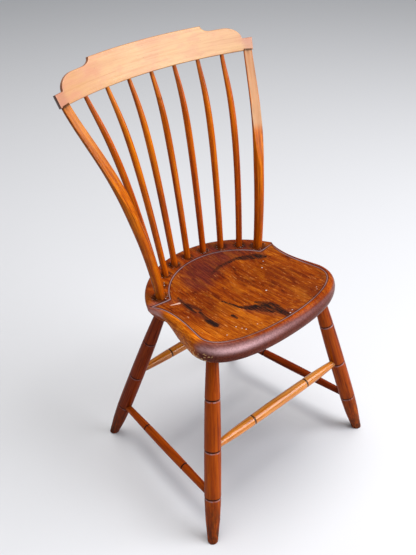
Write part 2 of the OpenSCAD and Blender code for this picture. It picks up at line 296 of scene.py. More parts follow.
def turned_material(name, dark, middle, light, coat=0.10):
    """Varnished round parts: masks ring, lip_sheen, dirt_and_shade, pale and ruddy come from the mesh, some
    of them painted shade and painted sky reflection.
    """
    m = Nodes(name)
    grain = m.grain()
    # long streaks, fine fibres and slow patches, all running along the grain's z
    streaks = m.noise(grain, (210, 210, 7), detail=5, rough=0.6, distort=0.4)
    fibres = m.noise(grain, (900, 900, 28), detail=3, rough=0.6)
    patches = m.noise(grain, (40, 40, 9), detail=2, rough=0.5)
    base = m.ramp(streaks, [(0.30, dark), (0.46, middle), (0.68, light)])
    base = m.mix(m.fit(patches, 0.42, 0.70, 0.0, 0.45), base, m.mix(0.5, base, dark))
    lines = m.fit(fibres, 0.54, 0.68, 0.0, 0.7)
    base = m.mix(lines, base, m.mix(0.75, base, FIBRE_BLACK))
    base = m.mix(m.attribute("ruddy"), base, RUDDY_TINT, "MULTIPLY")
    # pale surfaces: a painted sky reflection on the posts' shaved faces, and rod tops a little paler
    pale_sheen_colour = m.ramp(m.noise(grain, (130, 130, 5)), PALE_SHEEN_WOOD)
    base = m.mix(m.attribute("pale"), base, pale_sheen_colour)
    # dirt near joints and the floor, painted shade on the posts' sides, the sticks' backs and under the
    # crest, a painted sky reflection on the lip under each ring, and the black line in it painted as the
    # groove's shade
    dirt_and_shade = m.attribute("dirt_and_shade")
    blotches = m.noise(grain, (160, 160, 60), detail=5, rough=0.65)
    base = m.mix(m.times(dirt_and_shade, m.fit(blotches, 0.3, 0.65)), base, GRIME_AND_SHADE)
    lip_sheen = m.times(m.attribute("lip_sheen"), m.fit(blotches, 0.35, 0.6, 0.1, 0.8))
    base = m.mix(lip_sheen, base, LIP_REFLECTION)
    # black painted in the ring grooves as their shade, and the dark joint line at a post's top
    ring = m.attribute("ring")
    base = m.mix(ring, base, RING_BLACK)
    rough = m.fit(fibres, 0.3, 0.8, 0.30, 0.48)
    rough = m.plus(rough, m.times(dirt_and_shade, 0.25))
    rough = m.plus(rough, m.times(ring, 0.3))
    normal = m.bump(m.plus(m.times(fibres, 0.5), streaks), 0.25 * MM)
    return m.varnish(base, rough, normal, coat=coat, coat_roughness=0.12, gloss=0.05)


# ---- rings scored in the turned parts; their places and widths are in mm ----

RING_DEPTH = 1.5 * MM


def cut_depth(z, ring):
    """Depth of a ring's groove: steep above, and sloping out again towards the foot."""
    above = z / MM - ring
    width = 0.8 if above >= 0 else 2.2
    return RING_DEPTH * math.exp(-(above / width) ** 2)


def ring_cut(z, rings):
    return max(cut_depth(z, ring) for ring in rings)


def ring_band(z, rings, above, half_width):
    """1 in a band round each ring, whose middle lies that far above the ring."""
    return max(math.exp(-((z / MM - ring - above) / half_width) ** 4) for ring in rings)


def ring_dark(z, rings):
    """1 in the bottom of a ring, painted black as the groove's shade."""
    return ring_band(z, rings, 0.7, 1.8)


def lip_reflection_band(z, rings):
    """1 on the lip just under a ring, where a pale sky reflection is painted."""
    return ring_band(z, rings, -2.3, 1.1)


def ring_stations(rings, length):
    """Distances along a turned part, close together at its rings."""
    close = [r * MM + d * MM for r in rings for d in np.arange(-6.3, 5.0, 0.45)]
    return sorted(set(list(np.arange(0, length, 6 * MM)) + close + [length]))


def turned_radius(profile, z):
    """Share of the thickest radius at z."""
    at, share = zip(*profile)
    return np.interp(z / MM, at, share)


# ---- legs ----

LEG_RINGS = (99, 201, 306)
# height in mm and share of the thickest radius
LEG_PROFILE = [
    (0, .63), (9, .665), (24, .745), (50, .88), (94, .985), (104, .995), (150, 1.0), (196, .99),
    (206, .985), (255, .955), (300, .905), (311, .89), (350, .80), (387, .70), (420, .68),
]
# the foot's rounded edge: height and inset in mm
FOOT_EDGE = [(0, 1.8), (0, 1.1), (0.4, 0.45), (1.2, 0.1), (2.5, 0), (5, 0)]
LEG_SIDES = 40


def leg_point(key, z):
    """Point on a leg's axis at a height of z."""
    x, y = LEG_TOPS[key]
    top = np.array([x * MM, ARC_Y + y * MM, SEAT_BOTTOM])
    return lerp(FEET[key], top, z / SEAT_BOTTOM)


def foot_dirt(z):
    low = 0.5 * (1 - smooth(0.0, 55 * MM, z))
    high = 0.45 * (1 - smooth(60 * MM, 150 * MM, z))
    return low + high + 0.05


def leg(key, thickest, material, lip_reflection_strength):
    foot = FEET[key]
    way = leg_point(key, SEAT_BOTTOM) - foot
    along = unit(way)
    across = unit(np.cross(along, (0, 1, 0)))
    forward = np.cross(along, across)
    stretch = np.linalg.norm(way) / SEAT_BOTTOM
    heights = [(z * MM, inset * MM) for z, inset in FOOT_EDGE]
    heights += [(z, 0) for z in ring_stations(LEG_RINGS, SEAT_BOTTOM + 8 * MM) if z > 6 * MM]
    stations = []
    for z, inset in heights:
        r = thickest * turned_radius(LEG_PROFILE, z) - ring_cut(z, LEG_RINGS) - inset
        stations.append([foot + z * stretch * along, across, forward, circle(r, LEG_SIDES), z])
    piece = sweep("leg_" + key, "turned", material, stations, {
        "ring": lambda z, a: ring_dark(z, LEG_RINGS),
        "lip_sheen": lambda z, a: lip_reflection_strength * lip_reflection_band(z, LEG_RINGS),
        "dirt_and_shade": lambda z, a: foot_dirt(z),
    })
    # the sole lies flat on the floor: slide the low rings along the leg's axis
    for v in piece.data.vertices:
        s = float(np.dot(np.array(v.co) - foot, along))
        flat = 1 - smooth(0, 40 * MM, s)
        off = (v.co.z - s * along[2]) / along[2]
        v.co -= Vector(along * off * flat)
        v.co.z = max(v.co.z, 0.0)


# ---- stretchers ----

# the legs that each joins, and its height on them in mm
STRETCHERS = {
    "stretcher_front": ("front_left", "front_right", 203),
    "stretcher_rear": ("rear_left", "rear_right", 209),
    "stretcher_left": ("front_left", "rear_left", 99),
    "stretcher_right": ("front_right", "rear_right", 99),
}
STRETCHER_SIDES = 32
STRETCHER_RING_DEPTH = 1.2 * MM
TENON_R = 7.5 * MM
IN_LEG = 4 * MM                          # each end stops this far from the leg's axis


def stretcher(name, thickest, material):
    a, b, z = STRETCHERS[name]
    start, end = leg_point(a, z * MM), leg_point(b, z * MM)
    length = np.linalg.norm(end - start)
    along = unit(end - start)
    across = unit(np.cross(along, (0, 0, 1)))
    forward = np.cross(across, along)
    mm = length / MM
    rings = (0.29 * mm, 0.71 * mm)
    thin = TENON_R / thickest
    profile = [(0, thin), (20, thin), (40, lerp(thin, .88, .55))]
    profile += [(66, .88), (0.29 * mm, .95), (0.42 * mm, 1.0)]
    profile += [(mm - p, r) for p, r in reversed(profile)]
    stations = []
    for s in ring_stations(rings, length - IN_LEG):
        if s >= IN_LEG:
            r = thickest * turned_radius(profile, s) - STRETCHER_RING_DEPTH * ring_dark(s, rings)
            stations.append([start + s * along, across, forward, circle(r, STRETCHER_SIDES), s])
    sweep(name, "turned", material, stations, {
        "ring": lambda s, t: ring_dark(s, rings),
        "dirt_and_shade": lambda s, t: 0.6 * (1 - smooth(16 * MM, 34 * MM, min(s, length - s))) + 0.05,
    })


# ---- bent rods and posts ----

ROD_ARC_R = 162 * MM
ROD_STEP = 14.5                          # degrees between rods on the seat
POST_X, POST_Y, CREST_H = 223 * MM, 205 * MM, 823 * MM
SAG, TILT = 38 * MM, math.radians(23.5)
CREST_T = 9 * MM
TABLET_H, TABLET_X = 62 * MM, 135 * MM
SHOULDER_H, SHOULDER_X = 50 * MM, 182 * MM
COVE_W = 20 * MM
BLOCK_H, NOTCH_X, CREST_END_X = 25 * MM, 217.5 * MM, 234 * MM

CREST_UP = np.array([0, math.sin(TILT), math.cos(TILT)])
CREST_IN = np.array([0, math.cos(TILT), -math.sin(TILT)])
BEND = SAG * math.cos(TILT)
CREST_R = (POST_X ** 2 + BEND ** 2) / (2 * BEND)
AXIS_IN = -math.sqrt(CREST_R ** 2 - POST_X ** 2)
POST_TOP = np.array([0, ARC_Y + POST_Y, CREST_H])

# a stick's first and last stretch: share of the way across, lean back and share of the rise
POST_LOW, POST_HIGH = (0.54, 0.06, 0.6), (1.02, math.tan(TILT), 0.21)
ROD_LOW, ROD_HIGH = (0.9, 0.133, 0.78), (1.22, math.tan(TILT), 0.16)
IN_SEAT, IN_CREST = 6 * MM, 3 * MM       # how far the ends run into the seat and the crest


def bend_at(x):
    return math.sqrt(CREST_R ** 2 - x ** 2) + AXIS_IN


def arch_at(x):
    return bend_at(x) * math.tan(TILT)


def under_crest(x):
    """Point on the crest's arched lower edge, in the middle of its thickness."""
    return POST_TOP + bend_at(x) * CREST_IN + arch_at(x) * CREST_UP + np.array([x, 0, 0])


def bezier(p, t):
    s = 1 - t
    return s ** 3 * p[0] + 3 * t * s ** 2 * p[1] + 3 * t * t * s * p[2] + t ** 3 * p[3]


def bezier_dir(p, t):
    s = 1 - t
    return unit(s ** 2 * (p[1] - p[0]) + 2 * t * s * (p[2] - p[1]) + t * t * (p[3] - p[2]))


def is_post(position):
    return abs(position) == 4


def stick_foot(position):
    """Where a stick stands: position runs from -4, the left post, to 4, the right post."""
    angle = math.radians(ROD_STEP * position)
    return np.array([ROD_ARC_R * math.sin(angle), ARC_Y + ROD_ARC_R * math.cos(angle), SEAT_TOP])


def stick_path(position):
    """Bezier points of a stick's route from the seat to the crest."""
    base, top = stick_foot(position), under_crest(POST_X * position / 4)
    way = top - base

    def stretch(shape):
        across, lean, rise = shape
        return rise * np.array([across * way[0], lean * way[2], way[2]])

    low, high = (POST_LOW, POST_HIGH) if is_post(position) else (ROD_LOW, ROD_HIGH)
    return [base, base + stretch(low), top - stretch(high), top]


def stick_radius(base, thick, top, t):
    """The stick swells from its base to 0.4 of its route, and thins from there up."""
    if t < 0.4:
        return base + (thick - base) * math.sin(math.pi / 2 * t / 0.4)
    return thick + (top - thick) * ((t - 0.4) / 0.6) ** 1.3


def shaved(r, t):
    """How far a post's front lies from its axis: it is flattened from 0.3 of its route up."""
    done = np.clip((t - 0.3) / 0.35, 0, 1)
    return r * (1.01 - 0.85 * math.sin(math.pi / 2 * done))


def stick_angles(sides, flat):
    """Angles round a stick, with two of them close to each edge of a shaved face."""
    edge = math.asin(min(flat, 0.97))
    face = [edge, edge + 0.03]
    face += list(np.linspace(edge + 0.06, math.pi - edge - 0.06, sides // 2 - 4))
    face += [math.pi - edge - 0.03, math.pi - edge]
    back = np.linspace(math.pi - edge + 0.05, 2 * math.pi + edge - 0.05, sides - len(face))
    return face + list(back)


def stick(name, position, radii, material):
    """A bent rod, or a post whose front is shaved flat above its lower third."""
    path = stick_path(position)
    post = is_post(position)
    front = unit((-math.copysign(POST_X, position), AXIS_IN, 0)) if post else (0, -1.0, 0)
    sides, steps = (44, 110) if post else (24, 72)
    stations, length, last = [], 0.0, path[0]
    for t in np.linspace(0.0, 1.0, steps):
        centre = bezier(path, t)
        length += np.linalg.norm(centre - last)
        last = centre
        across = unit(np.cross(bezier_dir(path, t), front))
        ahead = np.cross(across, bezier_dir(path, t))
        r = stick_radius(*radii, t)
        flat = shaved(r, t) if post else 2 * r
        turns = stick_angles(sides, flat / r)
        outline = [(r * math.cos(a), min(r * math.sin(a), flat)) for a in turns]
        moved = max(0.0, r - flat) / 2
        stations.append([centre + moved * ahead, across, ahead, outline, length])
    # both ends run a little way into the seat and the crest
    centre, across, ahead, outline, along = stations[0]
    low = centre - IN_SEAT * bezier_dir(path, 0.0)
    stations.insert(0, [low, across, ahead, outline, along - IN_SEAT])
    centre, across, ahead, outline, along = stations[-1]
    high = centre + IN_CREST * bezier_dir(path, 1.0)
    stations.append([high, across, ahead, outline, along + IN_CREST])
    sweep(name, "bent", material, stations, stick_masks(position, length))


def stick_masks(position, length):
    """Wear, painted shade and painted sky reflection of a rod or post, by the distance from the seat and
    the angle round it.
    """
    post = is_post(position)
    # the right post's face carries a painted pale sky reflection from a sharp line up, and the left one's a
    # little
    palest, pale_from, pale_to = (0.95, 0.59, 0.65) if position > 0 else (0.32, 0.6, 0.97)

    def pale(s, a):
        if post:
            face = smooth(0.15, 0.22, math.sin(a))
            return palest * face * smooth(pale_from, pale_to, s / length)
        return 0.10 * smooth(0.75, 1.0, s / length)

    def knot(s, a):
        """The small knot near the top of the middle rod."""
        near = 1 - smooth(1 * MM, 4 * MM, abs(length - 52 * MM - s))
        return float(position == 0) * smooth(0.2, 0.6, math.sin(a)) * near

    def dirt_and_shade(s, a):
        # painted shade on the dark sides beside a post's shaved face
        shaded_side = 0.6 * post * (1 - smooth(0.08, 0.15, math.sin(a))) * smooth(0.5, 0.7, s / length)
        low_half = 0.18 * (1 - smooth(0.25, 0.75, s / length))
        # painted shade round the sides and back of each stick
        behind = 0.30 * (1 - smooth(0.05, 0.55, math.sin(a)))
        at_seat = 0.75 * (1 - smooth(0, 14 * MM, s))
        # painted shade where the sticks' tops run under the crest
        shade_under_crest = 0.6 * smooth(length - 12 * MM, length, s)
        return max(shaded_side, low_half + behind, knot(s, a), at_seat, shade_under_crest)

    return {
        "ring": lambda s, a: 0.75 * post * smooth(length - 0.6 * MM, length, s),
        "dirt_and_shade": dirt_and_shade,
        "pale": pale,
        "ruddy": lambda s, a: 0.4 * (1 - smooth(0.2, 0.75, s / length)),
    }


# ---- crest ----

BOARD_STEP_X, BOARD_STEP_H = 4.5 * MM, 5 * MM
RIM_ROUND = 1.9 * MM


def crest_outline():
    """The right half of the crest's flat outline, from its end to the raised middle's corner."""
    turns = [math.pi / 2 * i / 8 for i in range(9)]
    cove = TABLET_H - SHOULDER_H
    half = [(CREST_END_X, 0), (CREST_END_X + 4.5 * MM, BLOCK_H), (NOTCH_X, BLOCK_H)]
    for a in turns[1:]:
        half.append((lerp(SHOULDER_X, NOTCH_X, math.cos(a)), lerp(BLOCK_H, SHOULDER_H, math.sin(a))))
    for a in turns:
        half.append((TABLET_X + COVE_W * (1 - math.sin(a)), TABLET_H - cove * math.cos(a)))
    return half


def flat_board():
    """The crest before it is bent, cut into small faces, with x along it and z up it."""
    half = crest_outline()
    outline = half + [(-x, h) for x, h in reversed(half)]
    bm = bmesh.new()
    face = bm.faces.new([bm.verts.new((x, -CREST_T / 2, h)) for x, h in outline])
    grown = bmesh.ops.extrude_face_region(bm, geom=[face])["geom"]
    for v in grown:
        if isinstance(v, bmesh.types.BMVert):
            v.co.y += CREST_T
    bmesh.ops.recalc_face_normals(bm, faces=bm.faces)
    rim = [e for e in bm.edges if abs(e.verts[0].co.y - e.verts[1].co.y) < 1e-6]
    bmesh.ops.bevel(bm, geom=rim, offset=RIM_ROUND, segments=4, profile=0.6, affect="EDGES")
    across = np.arange(-CREST_END_X, CREST_END_X + 1 * MM, BOARD_STEP_X)
    cuts = [((x, 0, 0), (1, 0, 0)) for x in across]
    cuts += [((0, 0, h), (0, 0, 1)) for h in np.arange(4 * MM, TABLET_H, BOARD_STEP_H)]
    for at, normal in cuts:
        bmesh.ops.bisect_plane(bm, geom=bm.verts[:] + bm.edges[:] + bm.faces[:], dist=1e-6,
                               plane_co=at, plane_no=normal)
    bmesh.ops.remove_doubles(bm, verts=bm.verts, dist=1e-5)
    return bm


def crest_masks(x, d, h):
    """Wear, and painted shade on the thin rim, at x along the board, d behind its middle and h above its
    lower edge.
    """
    side = abs(x)
    near_post = 1 - smooth(2 * MM, 5 * MM, abs(side - POST_X))
    return {
        # painted shade on the board's thin rim
        "edge": 1 - smooth(CREST_T / 2 - 0.6 * MM, CREST_T / 2, abs(d)),
        "joint": (1 - smooth(0, 3.0 * MM, h)) * near_post,
        "end": smooth(208 * MM, 222 * MM, side),
        "tip": smooth(CREST_END_X - 1 * MM, CREST_END_X, side - h * 0.18),
        "rosy": 1 - smooth(-190 * MM, -60 * MM, x),
    }


def bent(x, d, h):
    """Where a point of the flat board lies on the bent crest, with a slight wobble."""
    wobble = 0.25 * MM * noise.noise(Vector((x * 22, d * 60, h * 30)))
    root = math.sqrt((CREST_R + d) ** 2 - x * x) + AXIS_IN
    return POST_TOP + np.array([x, 0, 0]) + (root + wobble) * CREST_IN + (h + arch_at(x)) * CREST_UP


def crest(name, material):
    bm = flat_board()
    places = [tuple(v.co) for v in bm.verts]
    for v, spot in zip(bm.verts, places):
        v.co = Vector(bent(*spot))
    mesh = bpy.data.meshes.new(name + "_board")
    bm.to_mesh(mesh)
    bm.free()
    wear = [crest_masks(*spot) for spot in places]
    masks = {key: [float(w[key]) for w in wear] for key in wear[0]}
    dress(mesh, [(h, d, x) for x, d, h in places], masks)
    mesh.shade_smooth()
    place(bpy.data.objects.new(name + "_board", mesh), name, material)


# a pin's distance from its middle and its radius there, as shares of PIN_REACH and in mm
PIN_PROFILE = [(-1, 1.5), (0.2, 1.5), (0.7, 1.5), (0.95, 1.4), (1.04, 1.1), (1.1, 0.6)]
PIN_REACH = 5 * MM


def crest_pin(name, side, material):
    """A pin's domed head, just proud of the back of the crest."""
    lo, hi = (np.array(corner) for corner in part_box(name))
    way = unit(np.array([side * POST_X, 0, 0]) - AXIS_IN * CREST_IN)
    middle = (lo + hi) / 2
    across = unit(np.cross(way, CREST_UP))
    ahead = np.cross(across, way)
    stations = []
    for share, r in PIN_PROFILE:
        s = share * PIN_REACH
        stations.append([middle + s * way, across, ahead, circle(r * MM, 16), s])
    sweep(name, "head", material, stations, {"dirt_and_shade": lambda s, a: 0.5})


# ---- seat ----

# Bezier curves of the seat's edge and of its scored line, from the right post to the
# middle of the front, in mm. An arc about the rods' centre joins them behind.
EDGE_CURVES = [[(176, 80), (158, 45), (175, -5), (185, -58)],
               [(185, -58), (188, -93), (167, -119), (118, -135)],
               [(118, -135), (80, -146), (40, -149), (0, -149)]]
SCORE_CURVES = [[(171, 73), (146, 40), (160, -20), (167, -62)],
                [(167, -62), (170, -90), (148, -108), (110, -120)],
                [(110, -120), (72, -131), (36, -134), (0, -134)]]
SCORE_R = 144
EDGE_ANGLE, SCORE_ANGLE = 64, 62         # degrees from the middle of the back to the arcs' ends
# sections through the edge, front and back: distance in from it and depth, in mm
NOSE = [(11, 42), (4, 38), (0.8, 31), (0, 22), (1.5, 13), (5, 5.5), (9, 1.6)]
BEVEL = [(26, 42), (21, 37), (10, 25), (2.5, 14), (0, 7), (1.2, 3), (4, 0.8)]
# distances of the rings beside the scored line, in mm, and how many rings turn the edge
NEAR_SCORE = (0, .7, 1.4, 2.1, 2.8, 3.6, 5, 7, 10, 14)
SHELF_STEPS = NEAR_SCORE + (19, 25, 32, 41)
RIM_RINGS = 26
TOP_RING = RIM_RINGS - 2                 # the edge's last two rings already lie on top
HOLLOW_RING = RIM_RINGS + len(SHELF_STEPS) - 1
BEVEL_FROM, BEVEL_TO = -15 * MM, 75 * MM  # y where the nose's section gives way to the bevel's
SHELF_FALL = 7 * MM                      # the shelf turns down over this width at its edge
SADDLE = 9 * MM
HOLLOW_R = 150                           # about the scored line's distance from the middle, in mm
SCORE_DEPTH, SCORE_WIDTH = 1.3 * MM, 1.5 * MM


def half_outline(radius, turn, curves):
    """Points from the middle of the back round to the middle of the front, in mm."""
    points = [(radius * math.sin(a), radius * math.cos(a)) for a in np.linspace(0, math.radians(turn), 66)]
    arc_end, corner = np.array(points[-1]), np.array(curves[0][0], float)
    points += [lerp(arc_end, corner, t) for t in (0.2, 0.4, 0.6, 0.8)]
    for curve, count in zip(curves, (46, 44, 30)):
        control = np.array(curve, float)
        points += [bezier(control, t) for t in np.linspace(0, 1, count + 1)[:-1]]
    points.append(curves[-1][3])
    return np.array([np.asarray(p, float) for p in points])


def whole(half):
    left = half * (-1, 1)
    return np.vstack([left, half[-2:0:-1]]) * MM


def ring_distance(points, line):
    """Distance from each point to a closed polyline."""
    best = np.full(len(points), np.inf)
    for p, q in zip(line, np.roll(line, -1, 0)):
        d = q - p
        t = np.clip(((points - p) @ d) / (d @ d), 0, 1)
        best = np.minimum(best, np.linalg.norm(points - p - t[:, None] * d, axis=1))
    return best


def smooth_curve(points, t):
    """Point of a Catmull-Rom curve through the points, at parameter t."""
    i = min(int(t), len(points) - 2)
    p = [np.array(points[min(max(j, 0), len(points) - 1)]) for j in (i - 1, i, i + 1, i + 2)]
    f = t - i
    square = 2 * p[0] - 5 * p[1] + 4 * p[2] - p[3]
    cube = 3 * p[1] - p[0] - 3 * p[2] + p[3]
    return 0.5 * (2 * p[1] + (p[2] - p[0]) * f + square * f * f + cube * f ** 3)


def seat_rings(edge, score):
    """Rings in plan and their heights, from the underside over the edge into the hollow."""
    nose_share = 1 - smooth(BEVEL_FROM, BEVEL_TO, edge[:, 1:])
    norm = np.linalg.norm(edge, axis=1)[:, None]
    rings, heights = [], []
    for t in np.linspace(0, len(NOSE) - 1, RIM_RINGS):
        both = lerp(smooth_curve(BEVEL, t), smooth_curve(NOSE, t), nose_share) * MM
        rings.append(edge * (1 - both[:, :1] / norm))
        heights.append(SEAT_TOP - both[:, 1])
    # the shelf between the edge and the scored line
    shelf, drop = rings[-1], SEAT_TOP - heights[-1]
    span = np.linalg.norm(shelf - score, axis=1)
    for j in range(len(SHELF_STEPS) - 1, 0, -1):
        share = np.minimum(SHELF_STEPS[j] * MM / span, j / len(SHELF_STEPS))
        fallen = np.clip(1 - (1 - share) * span / SHELF_FALL, 0, 1)
        rings.append(score + share[:, None] * (shelf - score))
        heights.append(SEAT_TOP - drop * fallen ** 2)
    # the saddle inside the scored line
    for k in [1 - d / HOLLOW_R for d in NEAR_SCORE] + list(np.arange(0.89, 0.05, -0.016)):
        rings.append(k * score)
        heights.append(np.full(len(score), SEAT_TOP - SADDLE * (1 - k * k) ** 0.8))
    return rings, heights


def seat(name, material):
    edge = whole(half_outline(BACK_R, EDGE_ANGLE, EDGE_CURVES))
    score = whole(half_outline(SCORE_R, SCORE_ANGLE, SCORE_CURVES))
    rings, heights = seat_rings(edge, score)
    count, sides = len(rings), len(edge)
    ring_of = np.repeat(np.arange(count), sides)
    flat, z = np.vstack(rings), np.concatenate(heights)
    away = ring_distance(flat, score)
    z -= SCORE_DEPTH * np.where(ring_of >= TOP_RING, np.exp(-(away / SCORE_WIDTH) ** 2), 0.0)
    # a slow hand-worked wave over all but the underside
    wave = np.array([noise.noise(Vector((p[0] * 14, p[1] * 9, h * 30))) for p, h in zip(flat, z)])
    z = np.where(z > SEAT_BOTTOM + 8 * MM, z + 0.35 * MM * wave, z)
    verts = np.column_stack([flat[:, 0], flat[:, 1] + ARC_Y, z])
    verts = np.vstack([verts, np.mean(verts[:sides], axis=0), np.mean(verts[-sides:], axis=0)])
    ring_of, away = (np.append(values, [values[0], values[-1]]) for values in (ring_of, away))
    grain = verts[:, [0, 2, 1]]
    masks = seat_masks(verts, ring_of, away)
    make_piece(name + "_plank", name, verts, rings_to_faces(count, sides), grain, masks, material)


# Worn marks on the seat, as trails: strength, and points of x, y and half width in mm
BLACK_TRAILS = [
    (0.95, [(-52, -55, 1.2), (-43, -91, 2.5), (-27, -113, 7), (1, -132, 12), (3, -148, 9), (-1, -186, 4)]),
    (0.75, [(-8, -104, 3), (4, -120, 5), (12, -145, 4)]),
    (0.75, [(-19, -127, 8), (-10, -152, 4)]),
    (0.75, [(-112, 9, 2), (-116, -20, 4), (-119, -50, 2.5)]),
    (0.60, [(-110, -19, 4), (-105, -50, 3)]),
    (0.60, [(-111, -55, 3), (-117, -80, 4)]),
    (0.95, [(-119, -86, 6), (-117, -106, 6)]),
    (0.75, [(-72, -104, 3), (-72, -117, 2)]),
    (0.90, [(74, 34, 4), (88, 24, 7), (108, 10, 8), (124, -3, 4)]),
    (0.50, [(0, 31, 3), (28, 38, 4), (72, 35, 4)]),
]
PURPLE_TRAILS = [
    (0.95, [(-42, 30, 30), (-25, 48, 36), (72, 78, 30)]),
    (0.70, [(60, 60, 22), (112, 46, 16), (125, 10, 8)]),
    (0.60, [(-30, -116, 14), (-8, -165, 12), (20, -180, 8)]),
    (0.50, [(-112, -5, 8), (-117, -60, 8), (-116, -112, 8)]),
]
BARE_TRAILS = [
    (1.00, [(-137, 1, 1.5), (-120, -4, 3)]),
    (0.90, [(104, -166, 1), (111, -158, 1)]),
    (0.80, [(-141, -48, 1), (-141, -56, 1)]),
    (0.35, [(-20, 3, 3), (0, -4, 2)]),
]
# White specks in the hollow: x, y and radius in mm
SPECKS = [
    (37, -90, 2), (-94, -137, 1.4), (-90, -149, 1.2), (-87, -157, 1.5), (-125, -145, 1.2),
    (90, -27, 1.6), (109, -12, 1.2), (8, -181, 1.6), (18, -177, 1.3), (-60, -160, 1.1),
]


def painted(plan, trails):
    """How strongly each point is covered by trails with soft edges."""
    cover = np.zeros(len(plan))
    for strength, points in trails:
        for (x0, y0, w0), (x1, y1, w1) in zip(points, points[1:]):
            start, way = np.array([x0, y0], float), np.array([x1 - x0, y1 - y0], float)
            t = np.clip(((plan - start) @ way) / (way @ way), 0, 1)
            away = np.linalg.norm(plan - start - t[:, None] * way, axis=1)
            cover = np.maximum(cover, strength * (1 - smooth(0.5, 1.6, away / lerp(w0, w1, t))))
    return cover


def between(low0, low1, high0, high1, x):
    """Rises from 0 to 1 between low0 and low1, and falls again between high0 and high1."""
    return smooth(low0, low1, x) * (1 - smooth(high0, high1, x))


def hump(x, middle, width):
    return np.exp(-((x - middle) / width) ** 2)


def seat_masks(verts, ring_of, away):
    """Where each kind of wear, painted shade and painted sky reflection lies on the plank, from 0 to 1.
    Lengths are in mm.
    """
    plan = verts[:, :2] / MM
    x, y = plan.T
    deep, away = (SEAT_TOP - verts[:, 2]) / MM, away / MM
    top, hollow = (ring_of >= TOP_RING).astype(float), (ring_of >= HOLLOW_RING).astype(float)
    rim, left_rim = 1 - hollow, (1 - hollow) * (1 - smooth(-160, -140, x))
    # the scored line's lip, where a pale sky reflection is painted
    lip_sheen = top * hump(away, 0, 0.9)
    # the front edge is purplish brown from a little under its top, with a painted pale sky reflection
    # strongest towards the left
    front = 1 - smooth(-138, np.where(x < 0, -112, -88), y)
    nose_from = np.interp(x, [-150, -90, 0, 180], [-3, -1, 3, 6])
    nose = front * rim * smooth(nose_from, nose_from + 5, deep)
    reflection_share = np.interp(x, [-178, -158, -125, -85, -20, 60, 130, 185], [0.5, 1, 1, .7, .3, .12, .1, .05])
    pale_reflection = nose * reflection_share * hump(deep, 11, 6) * (1 - lip_sheen)
    # painted sky reflection along the left rim as well
    pale_reflection += 0.5 * left_rim * between(-15, 5, 20, 40, y) * hump(deep, 10, 8)
    corner = rim * (1 - smooth(-158, -140, x)) * between(-165, -145, -105, -85, y)
    return {
        # dark beside the scored line, painted as the groove's shade
        "ring": top * hump(away, 1.7, 0.9),
        "lip_sheen": lip_sheen,
        "hollow": hollow,
        # painted shade on the underside
        "under": 1 - smooth(0, 6, ring_of),
        "nose": nose,
        "pale_reflection": pale_reflection,
        "corner": corner * smooth(14, 22, deep),
        # lighter front-left of the hollow: partly wood tone, partly painted glints
        "golden": (1 - smooth(-80, 30, x)) * (1 - smooth(-115, -50, y)),
        "amber": rim * (1 - smooth(-150, -130, x)) * between(-138, -112, -25, 10, y),
        "black": painted(plan, BLACK_TRAILS),
        "purple": painted(plan, PURPLE_TRAILS),
        "bare": painted(plan, BARE_TRAILS),
    }


# ---- wood of the seat ----

TOP_WOOD = [(0.37, (0.035, 0.004, 0.0005)), (0.46, (0.15, 0.019, 0.0008)),
            (0.54, (0.23, 0.041, 0.001)), (0.65, (0.45, 0.128, 0.006))]
EDGE_WOOD = [(0.37, (0.10, 0.010, 0.0005)), (0.49, (0.24, 0.032, 0.001)), (0.63, (0.42, 0.090, 0.003))]
AMBER_WOOD = [(0.37, (0.24, 0.034, 0.001)), (0.50, (0.56, 0.120, 0.002)), (0.63, (0.84, 0.27, 0.015))]
DARK_CLOUD, BRIGHT_CLOUD = (0.085, 0.012, 0.001), (0.50, 0.15, 0.008)
SEAT_FIBRE, BRIGHT_TICK = (0.020, 0.004, 0.001), (0.62, 0.24, 0.06)
NOSE_DARK, NOSE_LIGHT = (0.050, 0.009, 0.006), (0.120, 0.024, 0.015)
PURPLE_DARK, PURPLE_LIGHT = (0.045, 0.007, 0.008), (0.115, 0.018, 0.012)
SKY_REFLECTION = (0.70, 0.42, 0.43)
STAIN_HALO, STAIN_BLACK = (0.045, 0.010, 0.004), (0.006, 0.004, 0.004)
BARE_WOOD, CHIPPED_WOOD = (0.66, 0.42, 0.32), (0.80, 0.48, 0.20)
OLD_FINISH, GLUE_FLECK = (0.022, 0.005, 0.001), (0.55, 0.48, 0.45)
SCORE_BLACK, SCORE_LIP_REFLECTION = (0.016, 0.005, 0.004), (0.26, 0.175, 0.19)
WHITE_SPECK, UNDER_SHADE = (0.62, 0.55, 0.52), (0.05, 0.012, 0.003)


def seat_figure(m):
    """The noises that the seat's layers share, all drawn out along the grain."""
    grain = m.grain()
    fine = m.noise(grain, (330, 330, 14), detail=7, rough=0.75, distort=0.5)
    clouds = m.noise(grain, (34, 34, 17), detail=6, rough=0.68, distort=0.8)
    return SimpleNamespace(
        grain=grain, fine=fine, clouds=clouds,
        streaks=m.plus(m.times(fine, 0.55), m.times(clouds, 0.45)),
        fibres=m.noise(grain, (620, 620, 34), detail=4, rough=0.65),
        patches=m.noise(grain, (12, 12, 6), detail=3, rough=0.55),
        broad=m.noise(grain, (50, 50, 9), detail=5, rough=0.65, distort=0.5),
        torn=m.noise(grain, (330, 330, 24), detail=7, rough=0.75, distort=0.3))


